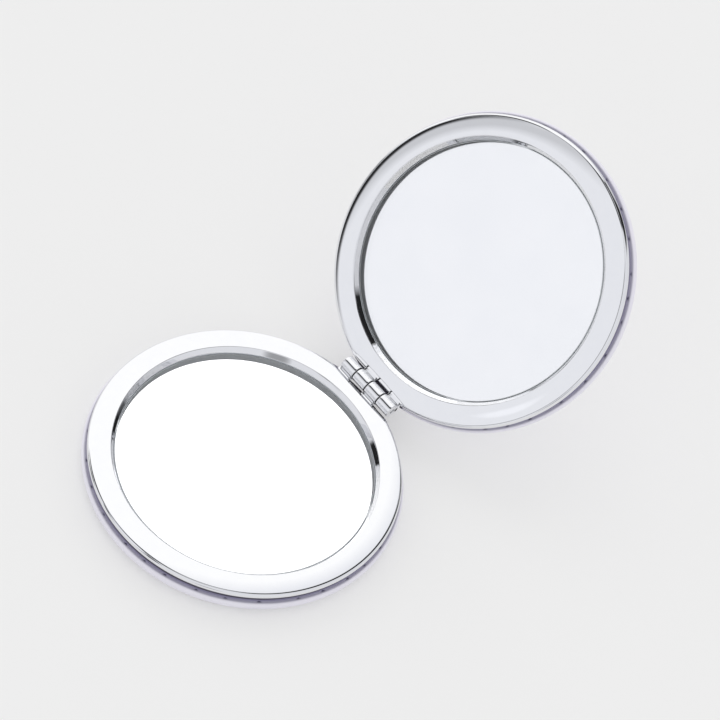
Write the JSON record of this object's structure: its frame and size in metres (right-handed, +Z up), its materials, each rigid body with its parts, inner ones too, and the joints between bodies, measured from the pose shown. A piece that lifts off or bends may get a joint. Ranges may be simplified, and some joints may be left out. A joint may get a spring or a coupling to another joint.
{
  "type": "compact mirror",
  "caption": "Round folding pocket compact with a mirror in each half, chrome bezels, a barrel hinge and padded lilac covers, standing open.",
  "frame": {"origin": "centre of the base half's flat underside, which lies on the table", "axes": "+Z up, the hinge line runs along X on the +Y side, and the lid opens towards +Y"},
  "size_m": [0.07, 0.1215, 0.0565],
  "materials": {
    "chrome_plate": "polished",
    "mirror_glass": "polished",
    "silvering": "polished",
    "tape": "matte",
    "shell_plastic": "matte",
    "foam": "matte",
    "lilac_skin": "satin",
    "magnet_plating": "satin",
    "pin_steel": "satin"
  },
  "bodies": {
    "base": {"base_bezel": "chrome_plate", "base_mirror_glass": "mirror_glass", "base_mirror_silver": "silvering", "base_mirror_tape": "tape", "base_backing_shell": "shell_plastic", "base_foam_pad": "foam", "base_cover_skin": "lilac_skin", "base_bond_tape": "tape", "base_magnet": "magnet_plating", "hinge_pin": "pin_steel"},
    "lid": {"lid_bezel": "chrome_plate", "lid_mirror_glass": "mirror_glass", "lid_mirror_silver": "silvering", "lid_mirror_tape": "tape", "lid_backing_shell": "shell_plastic", "lid_foam_pad": "foam", "lid_cover_skin": "lilac_skin", "lid_bond_tape": "tape", "lid_magnet": "magnet_plating"}
  },
  "joints": [
    {"name": "lid_hinge", "type": "hinge", "parent": "base", "child": "lid", "pos_m": [0, 0.03515, 0.0064], "axis": [-1, 0, 0], "range_deg": [-133, 47]}
  ]
}
